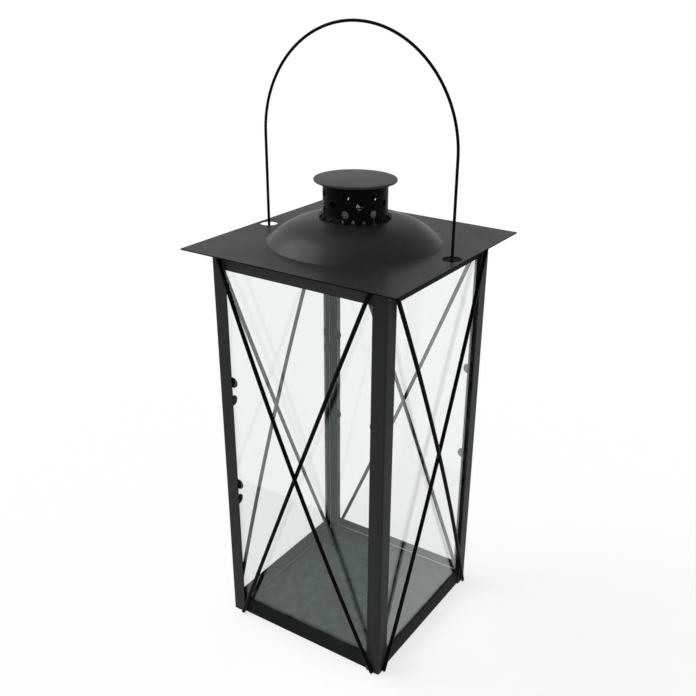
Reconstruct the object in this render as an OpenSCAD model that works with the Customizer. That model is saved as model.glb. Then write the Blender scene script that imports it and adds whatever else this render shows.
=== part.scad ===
// Square candle lantern of folded sheet steel: a glazed body with crossed wires
// on every side, a pressed dome roof, a vented chimney and a wire carrying bail.
// Lengths are in millimetres. The lantern stands on z = 0, centred on the z axis.
// The front is -y, the door is on the +y side and its hinges are at -x.

/* [Body] */
// Width across the outside faces of the corner posts
body_w = 140; // [134:1:170]
// Height of the body, from the table to the underside of the roof plate
frame_h = 306.2; // [240:0.1:380]
// Thickness of the sheet steel
sheet_t = 0.8; // [0.6:0.05:0.9]
// Outside radius of every fold in the sheet
fold_r = 1.2; // [1:0.1:1.6]
// Width of each leg of a corner post
post_leg = 11; // [10:0.5:14]
// Height of the tray rim
rim_h = 14.5; // [10:0.5:24]
// Open length at each end of a tray rim, where the folds meet
rim_relief = 1.4; // [1.2:0.1:3]
// Height of a head rail below the roof plate
head_rail_h = 13.7; // [11:0.1:22]
// Width of the flange that a head rail turns in under the roof
head_flange_w = 8; // [5:0.5:9]
// Gap along the mitre between two head rails
mitre_gap = 0.6; // [0.3:0.1:1]

/* [Roof] */
// How far the roof plate overhangs the body on each side
roof_overhang = 14.5; // [13.5:0.5:30]
// Radius of the pressed dome where it leaves the plate
dome_r = 61; // [50:0.5:62]
// Height the dome would reach at its centre
dome_h = 17.6; // [12:0.1:19]
// How flat the crown is: 2 is a parabola, larger is flatter
dome_power = 3.6; // [2.5:0.1:4.5]
// Radius of the flue opening in the crown
flue_r = 20.6; // [16:0.1:21]

/* [Chimney] */
// Outside radius of the chimney collar
collar_r = 22.4; // [22:0.1:30]
// Height of the top of the collar above the roof plate
collar_top = 42.2; // [40:0.1:60]
// How far the toothed skirt flares out beyond the collar
skirt_flare = 2.9; // [2:0.1:4]
// Number of teeth in the skirt
tooth_count = 20; // [12:1:28]
// Width of the notch between two teeth at the foot of the skirt
notch_w = 3.6; // [1:0.1:4]
// Height of a notch
notch_h = 3.2; // [1.5:0.1:3.4]
// Direction of the first notch, in degrees from +x
notch_turn = 12; // [0:1:18]
// Diameter of a vent hole
vent_d = 5; // [2.5:0.1:5.2]
// Number of vent holes in a row
vents_per_row = 7; // [4:1:9]
// Number of rows of vent holes
vent_rows = 3; // [1:1:3]
// Height of the lowest row of vents above the foot of the collar
vent_foot = 6.1; // [6.1:0.1:7]
// Height from one row of vents to the next
vent_pitch = 5.7; // [5.4:0.1:6.4]
// Direction of the first vent hole, in degrees from +x
vent_turn = -126; // [-180:1:180]
// Radius of the chimney cap
cap_r = 28.5; // [26:0.1:36]
// Depth of the lip turned down round the cap
cap_lip_h = 1.5; // [1:0.1:3]
// Depth of the ring that centres the cap in the collar
cap_ring_h = 3; // [2:0.5:4]

/* [Bail] */
// Diameter of the bail wire
bail_d = 3; // [2:0.1:3.6]
// Distance from a body side out to the centre of a bail leg
bail_out = 6; // [5.5:0.1:6.5]
// Straight length of a bail leg above the roof
bail_leg_h = 65; // [30:1:120]
// Depth of the bail pivot below the top of the roof plate
pivot_drop = 7; // [6:0.1:7.5]
// Radius of the bend at the foot of a bail leg, to the wire's centre
bail_bend_r = 3.5; // [2.5:0.1:4]
// Length of wire that passes the head rail at the pivot
bail_tail = 1.6; // [0.8:0.1:2]
// Diameter of the clearance hole in the roof round each leg
bail_hole_d = 13; // [8:0.1:13]

/* [Panes] */
// Thickness of the glass
pane_t = 2; // [1.6:0.1:2.2]
// Distance from a post's inner face to the side edge of a pane
pane_edge = 4.7; // [4.2:0.1:6]
// Width of the ground seam along every edge of a pane
pane_seam = 0.4; // [0.3:0.05:0.6]
// How far the top of a pane laps the head rail
pane_lap = 4.5; // [2:0.1:4.7]
// Thickness of the clip strip
clip_t = 0.6; // [0.4:0.05:0.8]
// Height of a clip, which is also the width of its round finger
clip_h = 8; // [5:0.5:10]
// How far a clip finger shows beyond the edge of its strip
clip_show = 2.5; // [1:0.1:6]
// Heights of the lower and upper clips on the front pane
front_clip_z = [121, 207];
// Heights of the lower and upper clips on the side panes
side_clip_z = [103, 189];
// Heights of the lower and upper clips on the door pane
door_clip_z = [124.4, 199.5];

/* [Cross wires] */
// Diameter of the cross wires
cross_d = 3; // [2:0.1:4]
// Distance from the edge of the body to the end of a cross wire
cross_inset = 5; // [4:0.5:7]
// The same distance for the inner wire of the front
front_inset = 10.5; // [4:0.5:14]
// Distance from the end of a cross wire to the top or foot of its panel
cross_end = 1; // [1:0.1:4]
// Outward bow of the inner wire of each pair at mid height
inner_bow = 2; // [0.5:0.1:5]

/* [Door] */
// Width of the lip that a rear post turns behind the door side
rebate_lip = 3; // [2.5:0.1:4]
// Width of a door stile
stile_w = 7.7; // [7:0.1:10]
// Gap below the door
door_foot = 1.2; // [1:0.1:2]
// Gap above the door
door_head = 1; // [0.6:0.1:2]
// Height of the low rim behind the foot of the door
stop_rim_h = 6; // [4:0.5:9]
// Depth of the stop behind the head of the door
stop_head_h = 6.2; // [4:0.1:9]
// Gap between the door pane and the stops above and below it
door_pane_gap = 0.7; // [0.5:0.1:2]

/* [Hinges and latch] */
// Outside radius of a hinge knuckle
knuckle_r = 1.7; // [1.6:0.05:2]
// Diameter of a hinge pin
pin_d = 1.8; // [1.4:0.05:2]
// Height of a hinge
hinge_h = 20; // [14:1:30]
// Distance from the foot or head of the door to the centre of a hinge
hinge_inset = 50; // [30:1:80]
// Width of the leaf of a hinge on the door
door_leaf_w = 5; // [3:0.1:5.5]
// Distance from the free edge of the door to the latch pivot
latch_inset = 3.5; // [3.3:0.1:4]
// Width of the latch cam
cam_w = 3.6; // [3.4:0.1:4]
// Diameter of the latch shaft
latch_shaft_d = 2.4; // [1.6:0.1:2.6]
// Diameter of the latch knob
knob_d = 6; // [5:0.1:6.4]
// Height of the latch knob
knob_h = 3.7; // [3:0.1:6]

/* [Hidden] */

// Clearance between pieces that move past each other
move_gap = 0.3;
// Clearance between a pane and the sheet or clip beside it
pane_gap = 0.2;
// Radial clearance of a pin or shaft in its hole
pin_gap = 0.05;
// Radial clearance of the bail wire and of the latch shaft in their holes
pivot_gap = 0.1;
// Clearance under the feet of the skirt and round the cap's ring
seat_gap = 0.1;
// Overlap of a cutting shape beyond the face that it cuts
cut = 1;
// Depth to which folded edges overlap the floor of the tray
fold_lap = 4;

// Planes of the body, measured out from its centre
body_x = body_w / 2;
rail_x = body_x - sheet_t;
stop_y = rail_x - move_gap;
pane_out = rail_x - sheet_t - pane_gap;
pane_in = pane_out - pane_t;
pane_half = rail_x - pane_edge;
pane_top = frame_h - head_rail_h + pane_lap;
roof_top = frame_h + sheet_t;

// Bail: its legs, its pivot and the arc over the top
bail_x = body_x + bail_out;
pivot_z = roof_top - pivot_drop;
bail_arc_z = roof_top + bail_leg_h;
bail_end_x = rail_x - sheet_t - bail_tail;

// Chimney: foot of the skirt, its bend and the rows of vents
foot_r = collar_r + skirt_flare;
foot_rise = sheet_t * sin(45);
foot_z = roof_top + dome_at(foot_r - foot_rise) + seat_gap;
bend_z = foot_z + foot_rise + skirt_flare;
bend_in = sheet_t * tan(22.5);
collar_top_z = roof_top + collar_top;
vent_z = foot_z + vent_foot;

// Door: its leaf, pane and wires
leaf_x = body_x - rebate_lip - move_gap;
leaf_top = frame_h - door_head;
stile_x = leaf_x - stile_w;
latch_x = leaf_x - latch_inset;
latch_z = (door_foot + leaf_top) / 2;
cam_out = rail_x - move_gap;
cam_reach = rail_x - clip_t - latch_x;
door_pane_half = latch_x - cam_w / 2 - 2 * pane_gap;
door_pane_out = rail_x - pane_gap;
door_pane_in = door_pane_out - pane_t;
door_pane_foot = stop_rim_h + door_pane_gap;
door_pane_top = frame_h - stop_head_h - door_pane_gap;

// Hinge axis, and the heights of the two hinges
hinge_x = -(body_x - rebate_lip - move_gap / 2);
hinge_y = body_x + knuckle_r + move_gap;
hinge_zs = [door_foot + hinge_inset, leaf_top - hinge_inset];
hinge_clear = knuckle_r + move_gap;
knuckle_h = (hinge_h - 2 * move_gap) / 3;
pin_head_h = 0.8;

// Smoothness of the round forms
fine = 96;
mid = 48;
wire_sides = 20;
wire_steps = 20;
dome_steps = 18;

// Height of the outside of the dome above the roof plate, at radius r
function dome_at(r) = dome_h * (1 - pow(r / dome_r, dome_power));

// Depth of the sheet straight down through the dome, at radius r
function dome_wall(r) =
    sheet_t * sqrt(1 + pow(dome_h * dome_power / dome_r * pow(r / dome_r, dome_power - 1), 2));

// Radius at which the outside of the dome passes a height below the plate's top
function dome_radius_at(z) = dome_r * pow(1 - z / dome_h, 1 / dome_power);

// Section of a folded strip: its outside corner is at the origin
module angle_section(leg_x, leg_y) {
    difference() {
        round_corner(leg_x, leg_y, fold_r);
        translate([sheet_t, sheet_t]) round_corner(leg_x, leg_y, fold_r - sheet_t);
    }
}

// Rectangle from the origin with a round corner there
module round_corner(w, h, r) {
    union() {
        translate([r, 0]) square([w - r, h]);
        translate([0, r]) square([w, h - r]);
        translate([r, r]) circle(r = r, $fn = mid);
    }
}

// Turns what is drawn for the front (-y) to another side of the body
module on_side(turn) {
    rotate([0, 0, turn]) children();
}

module corner_post(leg_x, leg_y) {
    color("dimgray") linear_extrude(frame_h) angle_section(leg_x, leg_y);
}

module post_front_left() {
    translate([-body_x, -body_x, 0]) corner_post(post_leg, post_leg);
}

module post_front_right() {
    mirror([1, 0, 0]) post_front_left();
}

module post_rear_left() {
    mirror([0, 1, 0]) translate([-body_x, -body_x, 0]) corner_post(rebate_lip, post_leg);
}

module post_rear_right() {
    mirror([1, 0, 0]) post_rear_left();
}

// Folded edge of the tray along the front: its outer face is at -y
module tray_edge(face_y, height) {
    half = rail_x - rim_relief;
    translate([-half, -face_y, 0])
        rotate([90, 0, 90])
            linear_extrude(2 * half) angle_section(fold_lap, height);
}

module base_tray() {
    half = rail_x - rim_relief;
    color("dimgray") union() {
        translate([-half, -rail_x + fold_r, 0]) cube([2 * half, rail_x + stop_y - 2 * fold_r, sheet_t]);
        for (turn = [-90, 0, 90]) on_side(turn) tray_edge(rail_x, rim_h);
        on_side(180) tray_edge(stop_y, stop_rim_h);
    }
}

// Head rail along the front: a web with a flange turned in under the roof
module head_rail(face_y, height) {
    corner = face_y - mitre_gap;
    inner = corner - head_flange_w;
    intersection() {
        translate([-body_x, -face_y, frame_h])
            rotate([90, 0, 90])
                mirror([0, 1, 0]) linear_extrude(body_w) angle_section(head_flange_w, height);
        linear_extrude(frame_h + cut) polygon([
            [-corner, -face_y], [corner, -face_y],
            [inner, -face_y + head_flange_w], [-inner, -face_y + head_flange_w]
        ]);
    }
}

// Head rail of a side, with the hole that the bail turns in
module pivot_rail() {
    difference() {
        head_rail(rail_x, head_rail_h);
        translate([0, -rail_x - cut, pivot_z])
            rotate([-90, 0, 0])
                cylinder(h = sheet_t + 2 * cut, d = bail_d + 2 * pivot_gap, $fn = mid);
    }
}

module head_rail_front() {
    color("dimgray") head_rail(rail_x, head_rail_h);
}

module head_rail_right() {
    color("dimgray") on_side(90) pivot_rail();
}

module head_rail_left() {
    color("dimgray") on_side(-90) pivot_rail();
}

module head_rail_rear() {
    color("dimgray") on_side(180) head_rail(stop_y, stop_head_h);
}

// Section of the pressed dome, from the flue to just below the plate's top
module dome_section() {
    last_r = dome_radius_at(-2 * sheet_t);
    radii = [for (i = [0 : dome_steps]) flue_r + (last_r - flue_r) * i / dome_steps];
    outside = [for (r = radii) [r, dome_at(r)]];
    inside = [for (i = [dome_steps : -1 : 0]) [radii[i], dome_at(radii[i]) - dome_wall(radii[i])]];
    intersection() {
        polygon(concat(outside, inside));
        translate([0, -sheet_t]) square([dome_r + dome_h, dome_h + 2 * sheet_t]);
    }
}

module roof_plate() {
    roof_w = body_w + 2 * roof_overhang;
    hole_r = dome_radius_at(sheet_t / 4);
    color("gray") union() {
        difference() {
            translate([-roof_w / 2, -roof_w / 2, frame_h]) cube([roof_w, roof_w, sheet_t]);
            translate([0, 0, frame_h - cut]) cylinder(h = sheet_t + 2 * cut, r = hole_r, $fn = fine);
            for (side = [-1, 1])
                translate([side * bail_x, 0, frame_h - cut])
                    cylinder(h = sheet_t + 2 * cut, d = bail_hole_d, $fn = mid);
        }
        translate([0, 0, roof_top]) rotate_extrude($fn = fine) dome_section();
    }
}

// Collar tube whose foot is slit into teeth and flared to sit on the dome
module chimney_collar() {
    color("dimgray") difference() {
        rotate_extrude($fn = fine) polygon([
            [collar_r, collar_top_z], [collar_r, bend_z], [foot_r, foot_z + foot_rise],
            [foot_r - foot_rise, foot_z], [collar_r - sheet_t, bend_z - bend_in],
            [collar_r - sheet_t, collar_top_z]
        ]);
        for (i = [0 : tooth_count - 1]) rotate([0, 0, notch_turn + 360 / tooth_count * i]) notch_cutter();
        for (row = [0 : vent_rows - 1], i = [0 : vents_per_row - 1])
            rotate([0, 0, vent_turn + 360 / vents_per_row * (i + (row % 2) / 2)]) vent_cutter(row);
    }
}

// Wedge that cuts one notch up into the skirt, pointing along +x
module notch_cutter() {
    translate([collar_r / 2, 0, foot_z])
        rotate([90, 0, 90])
            linear_extrude(collar_r) polygon([
                [-notch_w * (1 + cut / notch_h) / 2, -cut], [notch_w * (1 + cut / notch_h) / 2, -cut],
                [0, notch_h]
            ]);
}

module vent_cutter(row) {
    translate([collar_r / 2, 0, vent_z + row * vent_pitch])
        rotate([0, 90, 0])
            cylinder(h = collar_r, d = vent_d, $fn = mid);
}

// Flat cap with a lip turned down round its edge and a ring that fits the collar
module chimney_cap() {
    ring_r = collar_r - sheet_t - seat_gap;
    lip = cap_lip_h - sheet_t;
    color("gray") translate([0, 0, collar_top_z]) rotate_extrude($fn = fine) polygon([
        [0, 0], [ring_r - sheet_t, 0], [ring_r - sheet_t, -cap_ring_h], [ring_r, -cap_ring_h],
        [ring_r, 0], [cap_r - sheet_t, 0], [cap_r - sheet_t, -lip], [cap_r, -lip],
        [cap_r, sheet_t / 2], [cap_r - sheet_t / 2, sheet_t], [0, sheet_t]
    ]);
}

// Half of the bail below the arc: one leg, its bend and its turned-in end
module bail_leg() {
    bend_top = pivot_z + bail_bend_r;
    translate([bail_x, 0, bend_top])
        cylinder(h = bail_arc_z - bend_top, d = bail_d, $fn = wire_sides);
    translate([bail_x - bail_bend_r, 0, bend_top])
        rotate([90, 0, 0])
            rotate([0, 0, -90])
                rotate_extrude(angle = 90, $fn = fine)
                    translate([bail_bend_r, 0]) circle(d = bail_d, $fn = wire_sides);
    translate([bail_end_x, 0, pivot_z])
        rotate([0, 90, 0])
            cylinder(h = bail_x - bail_bend_r - bail_end_x, d = bail_d, $fn = wire_sides);
}

module carry_bail() {
    color("darkslategray") union() {
        translate([0, 0, bail_arc_z])
            rotate([90, 0, 0])
                rotate_extrude(angle = 180, $fn = fine)
                    translate([bail_x, 0]) circle(d = bail_d, $fn = wire_sides);
        bail_leg();
        mirror([1, 0, 0]) bail_leg();
    }
}

// Section of a pane across its thickness, with ground seams at both edges
module pane_section(width) {
    half = width / 2;
    flat = half - pane_seam;
    polygon([
        [-flat, 0], [flat, 0], [half, pane_seam], [half, pane_t - pane_seam],
        [flat, pane_t], [-flat, pane_t], [-half, pane_t - pane_seam], [-half, pane_seam]
    ]);
}

// Upright pane: its outside face is at y = 0, its inside face at y = pane_t
module glass(width, foot, top) {
    height = top - foot;
    color("lightblue", 0.35) intersection() {
        translate([0, 0, foot]) linear_extrude(height) pane_section(width);
        translate([-width / 2, 0, foot + height / 2])
            rotate([90, 0, 90])
                linear_extrude(width) rotate([0, 0, -90]) pane_section(height);
    }
}

// Fixed pane of the front: it stands on the tray between rim and clips
module fixed_pane() {
    translate([0, -pane_out, 0]) glass(2 * pane_half, sheet_t, pane_top);
}

module pane_front() {
    fixed_pane();
}

module pane_right() {
    on_side(90) fixed_pane();
}

module pane_left() {
    on_side(-90) fixed_pane();
}

// Clip at the -x end of the front: a foot on the strip, a web past the edge of
// the pane and a round-ended finger that holds the pane's inner face
module pane_clip(z, edge_x, glass_y, foot_x, tip_x) {
    web_x = edge_x + 2 * pane_gap;
    finger_y = glass_y - pane_gap - clip_t;
    round_r = clip_h / 2;
    color("dimgray") translate([0, 0, z]) union() {
        translate([-foot_x, -rail_x, -round_r]) cube([foot_x - web_x, clip_t, clip_h]);
        translate([-web_x - clip_t, -rail_x, -round_r]) cube([clip_t, rail_x - finger_y, clip_h]);
        translate([-web_x - clip_t, -finger_y - clip_t, -round_r])
            cube([web_x + clip_t - tip_x - round_r, clip_t, clip_h]);
        translate([-tip_x - round_r, -finger_y - clip_t, 0])
            rotate([-90, 0, 0])
                cylinder(h = clip_t, r = round_r, $fn = mid);
    }
}

// The four clips of one fixed pane
module side_clips(heights) {
    for (z = heights, flip = [0, 1])
        mirror([flip, 0, 0])
            pane_clip(z, pane_half, pane_in, rail_x - clip_t, body_x - post_leg - clip_show);
}

module pane_clips() {
    side_clips(front_clip_z);
    on_side(90) side_clips(side_clip_z);
    on_side(-90) side_clips(side_clip_z);
}

// Bowed wire across a panel: its ends lie on the panel's face and its middle
// stands out by bow. It rises towards +x.
module bowed_wire(end_x, foot, top, bow) {
    run = 2 * end_x;
    rise = top - foot;
    chord = sqrt(run * run + rise * rise);
    bow_r = (chord * chord / 4 + bow * bow) / (2 * bow);
    sweep = 2 * asin(chord / 2 / bow_r);
    color("darkslategray")
        translate([0, -body_x - cross_d / 2, (foot + top) / 2])
            rotate([0, -atan2(rise, run), 0])
                rotate([0, 0, -90])
                    translate([bow - bow_r, 0, 0])
                        rotate([0, 0, -sweep / 2])
                            rotate_extrude(angle = sweep, $fn = ceil(wire_steps * 360 / sweep))
                                translate([bow_r, 0]) circle(d = cross_d, $fn = wire_sides);
}

// Pair of a fixed side: the inner wire rises to +x and the outer one to -x
module fixed_wire(outer, inset = cross_inset) {
    bow = outer ? inner_bow + cross_d + pivot_gap : inner_bow;
    mirror([outer ? 1 : 0, 0, 0]) bowed_wire(body_x - inset, cross_end, frame_h - cross_end, bow);
}

module door_wire(outer) {
    bow = outer ? inner_bow + cross_d + pivot_gap : inner_bow;
    end_x = leaf_x - cross_inset + move_gap;
    mirror([outer ? 1 : 0, 0, 0]) bowed_wire(end_x, door_foot + cross_end, leaf_top - cross_end, bow);
}

module cross_wire_front_inner() {
    fixed_wire(false, front_inset);
}

module cross_wire_front_outer() {
    fixed_wire(true);
}

module cross_wire_right_inner() {
    on_side(90) fixed_wire(false);
}

module cross_wire_right_outer() {
    on_side(90) fixed_wire(true);
}

module cross_wire_left_inner() {
    on_side(-90) fixed_wire(false);
}

module cross_wire_left_outer() {
    on_side(-90) fixed_wire(true);
}

// Door strips: flush with the posts, between their lips
module door_stile_hinge() {
    color("dimgray") translate([-leaf_x, rail_x, door_foot]) cube([stile_w, sheet_t, leaf_top - door_foot]);
}

module door_stile_latch() {
    color("dimgray") difference() {
        translate([stile_x, rail_x, door_foot]) cube([stile_w, sheet_t, leaf_top - door_foot]);
        translate([latch_x, rail_x - cut, latch_z])
            rotate([-90, 0, 0])
                cylinder(h = sheet_t + 2 * cut, d = latch_shaft_d + 2 * pivot_gap, $fn = mid);
    }
}

module door_rail(foot, top) {
    color("dimgray") translate([-stile_x, rail_x, foot]) cube([2 * stile_x, sheet_t, top - foot]);
}

module door_rail_top() {
    door_rail(frame_h - head_rail_h, leaf_top);
}

module door_rail_bottom() {
    door_rail(door_foot, rim_h);
}

module door_pane() {
    translate([0, door_pane_in, 0]) glass(2 * door_pane_half, door_pane_foot, door_pane_top);
}

module door_pane_clips() {
    foot_x = leaf_x - 2 * clip_t;
    on_side(180) for (z = door_clip_z, flip = [0, 1])
        mirror([flip, 0, 0])
            pane_clip(z, door_pane_half, door_pane_in, foot_x, stile_x - clip_show);
}

module door_wire_inner() {
    on_side(180) door_wire(false);
}

module door_wire_outer() {
    on_side(180) door_wire(true);
}

// Knuckle from height z up, round the hinge axis
module knuckle(z) {
    translate([hinge_x, hinge_y, z]) cylinder(h = knuckle_h, r = knuckle_r, $fn = mid);
}

// Bore for the pin through the whole height of a hinge centred at z
module pin_bore(z) {
    translate([hinge_x, hinge_y, z - hinge_h / 2 - cut])
        cylinder(h = hinge_h + 2 * cut, d = pin_d + 2 * pin_gap, $fn = mid);
}

// Leaf on the post lip, with a knuckle at each end of the hinge
module hinge_post_leaves() {
    plate_x = hinge_x - hinge_clear;
    color("dimgray") for (z = hinge_zs) difference() {
        union() {
            translate([-body_x, body_x, z - hinge_h / 2]) cube([plate_x + body_x, sheet_t, hinge_h]);
            for (foot = [z - hinge_h / 2, z + hinge_h / 2 - knuckle_h]) {
                translate([-body_x, body_x, foot]) cube([rebate_lip, sheet_t, knuckle_h]);
                knuckle(foot);
            }
        }
        pin_bore(z);
    }
}

// Leaf on the door stile, with the knuckle in the middle of the hinge
module hinge_door_leaves() {
    plate_x = hinge_x + hinge_clear;
    color("dimgray") for (z = hinge_zs) difference() {
        union() {
            translate([plate_x, body_x, z - hinge_h / 2]) cube([door_leaf_w, sheet_t, hinge_h]);
            translate([-leaf_x, body_x, z - knuckle_h / 2]) cube([stile_w / 2, sheet_t, knuckle_h]);
            knuckle(z - knuckle_h / 2);
        }
        pin_bore(z);
    }
}

// Pins that drop in from above, each with a small head
module hinge_pins() {
    color("silver") for (z = hinge_zs) translate([hinge_x, hinge_y, z - hinge_h / 2]) union() {
        cylinder(h = hinge_h, d = pin_d, $fn = mid);
        translate([0, 0, hinge_h]) cylinder(h = pin_head_h, r = knuckle_r - pin_gap, $fn = mid);
    }
}

// Knob outside the door, turned with the shaft that carries the cam
module latch_knob() {
    head_y = body_x + move_gap;
    tail_y = cam_out - sheet_t - move_gap;
    color("dimgray") translate([latch_x, 0, latch_z]) rotate([-90, 0, 0]) union() {
        translate([0, 0, tail_y]) cylinder(h = head_y - tail_y, d = latch_shaft_d, $fn = mid);
        translate([0, 0, head_y]) rotate_extrude($fn = mid) polygon([
            [0, 0], [knob_d / 2 - sheet_t, 0], [knob_d / 2, sheet_t],
            [knob_d / 2, knob_h - sheet_t], [knob_d / 2 - sheet_t, knob_h], [0, knob_h]
        ]);
    }
}

// Cam inside the door: it hangs down unlocked and turns behind the post's lip
module latch_cam() {
    color("dimgray") translate([latch_x, cam_out, latch_z]) rotate([90, 0, 0]) difference() {
        union() {
            cylinder(h = sheet_t, d = cam_w, $fn = mid);
            translate([-cam_w / 2, -cam_reach, 0]) cube([cam_w, cam_reach, sheet_t]);
        }
        translate([0, 0, -cut]) cylinder(h = sheet_t + 2 * cut, d = latch_shaft_d + 2 * pin_gap, $fn = mid);
    }
}

base_tray();
post_front_left();
post_front_right();
post_rear_right();
post_rear_left();
head_rail_front();
head_rail_right();
head_rail_left();
head_rail_rear();
roof_plate();
chimney_collar();
chimney_cap();
carry_bail();
pane_front();
pane_right();
pane_left();
pane_clips();
cross_wire_front_inner();
cross_wire_front_outer();
cross_wire_right_inner();
cross_wire_right_outer();
cross_wire_left_inner();
cross_wire_left_outer();
door_stile_hinge();
door_stile_latch();
door_rail_top();
door_rail_bottom();
door_pane();
door_pane_clips();
door_wire_inner();
door_wire_outer();
hinge_post_leaves();
hinge_door_leaves();
hinge_pins();
latch_knob();
latch_cam();
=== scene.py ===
"""Looks of a square candle lantern of folded, powder-coated sheet steel.

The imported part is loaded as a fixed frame. Pieces that need a finer form are worked out
with numpy or are a merged copy with eased edges, and the hinge pins keep their mesh.
Sizes are in millimetres, apart from the camera's and the studio's, and meshes are in
metres, in the frame's axes: +Z up, the front at -Y, the door at +Y.
"""

import logging
import math
from abc import ABC, abstractmethod
from dataclasses import dataclass, replace
from enum import Enum

import bmesh
import bpy
import numpy as np
from bpy.types import ID, Material, Mesh, Node, NodeSocket, NodeTree, Object
from mathutils import Matrix, Vector
from mathutils.geometry import delaunay_2d_cdt


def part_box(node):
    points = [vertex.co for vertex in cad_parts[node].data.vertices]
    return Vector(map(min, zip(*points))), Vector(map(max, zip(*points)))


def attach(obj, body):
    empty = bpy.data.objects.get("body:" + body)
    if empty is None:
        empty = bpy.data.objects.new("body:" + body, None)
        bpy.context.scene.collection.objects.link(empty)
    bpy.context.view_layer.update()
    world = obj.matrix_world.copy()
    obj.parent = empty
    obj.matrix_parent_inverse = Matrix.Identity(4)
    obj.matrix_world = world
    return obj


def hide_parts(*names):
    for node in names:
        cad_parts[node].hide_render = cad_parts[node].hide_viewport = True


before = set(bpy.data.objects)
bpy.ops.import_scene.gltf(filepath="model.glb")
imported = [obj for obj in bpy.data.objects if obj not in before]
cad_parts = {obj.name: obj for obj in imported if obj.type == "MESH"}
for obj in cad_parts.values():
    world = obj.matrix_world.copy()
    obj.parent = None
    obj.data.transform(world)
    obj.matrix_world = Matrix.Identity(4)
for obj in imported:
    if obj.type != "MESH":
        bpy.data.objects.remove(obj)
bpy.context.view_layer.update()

LOG = logging.getLogger("lantern")
MM = 0.001
MERGE_M = 1e-6
DEGENERATE_M = 1e-7
TRIANGLES_WITH_HOLES = 2
OUTLINE_TOLERANCE = 1e-5
WIRE_END_ROUND = 0.35
WIRE_END_STEPS = 4
MIX_FACTOR, MIX_A, MIX_B, MIX_RESULT = 0, 6, 7, 2


class Body(Enum):
    """Bodies of the frame that a piece can ride on."""

    LANTERN = "lantern_body"
    BAIL = "bail"
    DOOR = "door"
    LATCH = "latch"


class Slot(Enum):
    """Material slots of the record, named with each new piece."""

    COAT = "powder_coat"
    WIRE = "wire_coat"
    GLASS = "clear_glass"


class Side(Enum):
    """Sides of the body, as the turn in degrees that brings the front there."""

    FRONT = 0
    RIGHT = 90
    REAR = 180
    LEFT = 270


# words for the sides in the names of their nodes
LABELS = {Side.FRONT: "front", Side.RIGHT: "right", Side.LEFT: "left", Side.REAR: "door"}


def columns(*parts: object) -> np.ndarray:
    """Arrays and numbers that fit each other, side by side along a new last axis."""
    return np.stack(np.broadcast_arrays(*parts), axis=-1)


def grid_quads(rows: int, cols: int) -> list:
    """Quads between the points of a grid that is stored row by row, each row a ring.

    Args:
        rows: number of rows.
        cols: number of points in a row.

    Returns:
        Quads, four point numbers each.
    """
    r, c = np.meshgrid(np.arange(rows - 1), np.arange(cols), indexing="ij")
    r2, c2 = r + 1, (c + 1) % cols
    quads = columns(r * cols + c, r2 * cols + c, r2 * cols + c2, r * cols + c2)
    return quads.reshape(-1, 4).tolist()


def new_object(name: str, data: ID) -> Object:
    """New object of a name with its data, linked to the scene."""
    thing = bpy.data.objects.new(name, data)
    bpy.context.scene.collection.objects.link(thing)
    return thing


def linked(mesh: Mesh, sharp_deg: float, flat_deg: float = 0.0) -> Object:
    """Merges a mesh's doubles, turns its faces outwards and links it as an object.

    Args:
        mesh: the mesh, in metres.
        sharp_deg: angle above which an edge is shaded sharp.
        flat_deg: angle below which neighbouring faces become one, where it isn't 0.

    Returns:
        The object, shaded smooth between its sharp edges.
    """
    work = bmesh.new()
    work.from_mesh(mesh)
    bmesh.ops.remove_doubles(work, verts=work.verts, dist=MERGE_M)
    if flat_deg:
        bmesh.ops.dissolve_limit(
            work, angle_limit=math.radians(flat_deg), verts=work.verts, edges=work.edges)
    else:
        bmesh.ops.dissolve_degenerate(work, edges=work.edges, dist=DEGENERATE_M)
    bmesh.ops.recalc_face_normals(work, faces=work.faces)
    work.to_mesh(mesh)
    work.free()
    mesh.polygons.foreach_set("use_smooth", np.ones(len(mesh.polygons), bool))
    mesh.set_sharp_from_angle(angle=math.radians(sharp_deg))
    mesh.update()
    return new_object(mesh.name, mesh)


def mesh_piece(name: str, points: np.ndarray, faces: list, sharp_deg: float) -> Object:
    """Mesh object of a name, from points in millimetres and faces of point numbers."""
    mesh = bpy.data.meshes.new(name)
    mesh.from_pydata((points * MM).tolist(), [], faces)
    return linked(mesh, sharp_deg)


def turned(points: np.ndarray, side: Side) -> np.ndarray:
    """Points of the front turned about the z axis to another side."""
    c, s = math.cos(math.radians(side.value)), math.sin(math.radians(side.value))
    return points @ np.array([[c, s, 0], [-s, c, 0], [0, 0, 1]])


def around(steps: int) -> np.ndarray:
    """Angles of a full turn in equal steps, without its end."""
    return np.arange(steps) * 2 * math.pi / steps


def revolved(profile: np.ndarray, segments: int) -> tuple:
    """Profile carried round the z axis.

    The point at angle a is (r cos a, r sin a, z), with r and z from the profile.

    Args:
        profile: columns radius and height.
        segments: number of steps round the axis.

    Returns:
        Points and faces.
    """
    angle = around(segments)
    r, z = profile[:, 0][:, None], profile[:, 1][:, None]
    points = columns(r * np.cos(angle), r * np.sin(angle), z)
    return points.reshape(-1, 3), grid_quads(len(profile), segments)


def arc(centre: tuple, radius: float, start_deg: float, end_deg: float, steps: int) -> np.ndarray:
    """Points of a circular arc in a plane, both ends included."""
    angle = np.radians(np.linspace(start_deg, end_deg, steps + 1))
    return columns(centre[0] + radius * np.cos(angle), centre[1] + radius * np.sin(angle))


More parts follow.
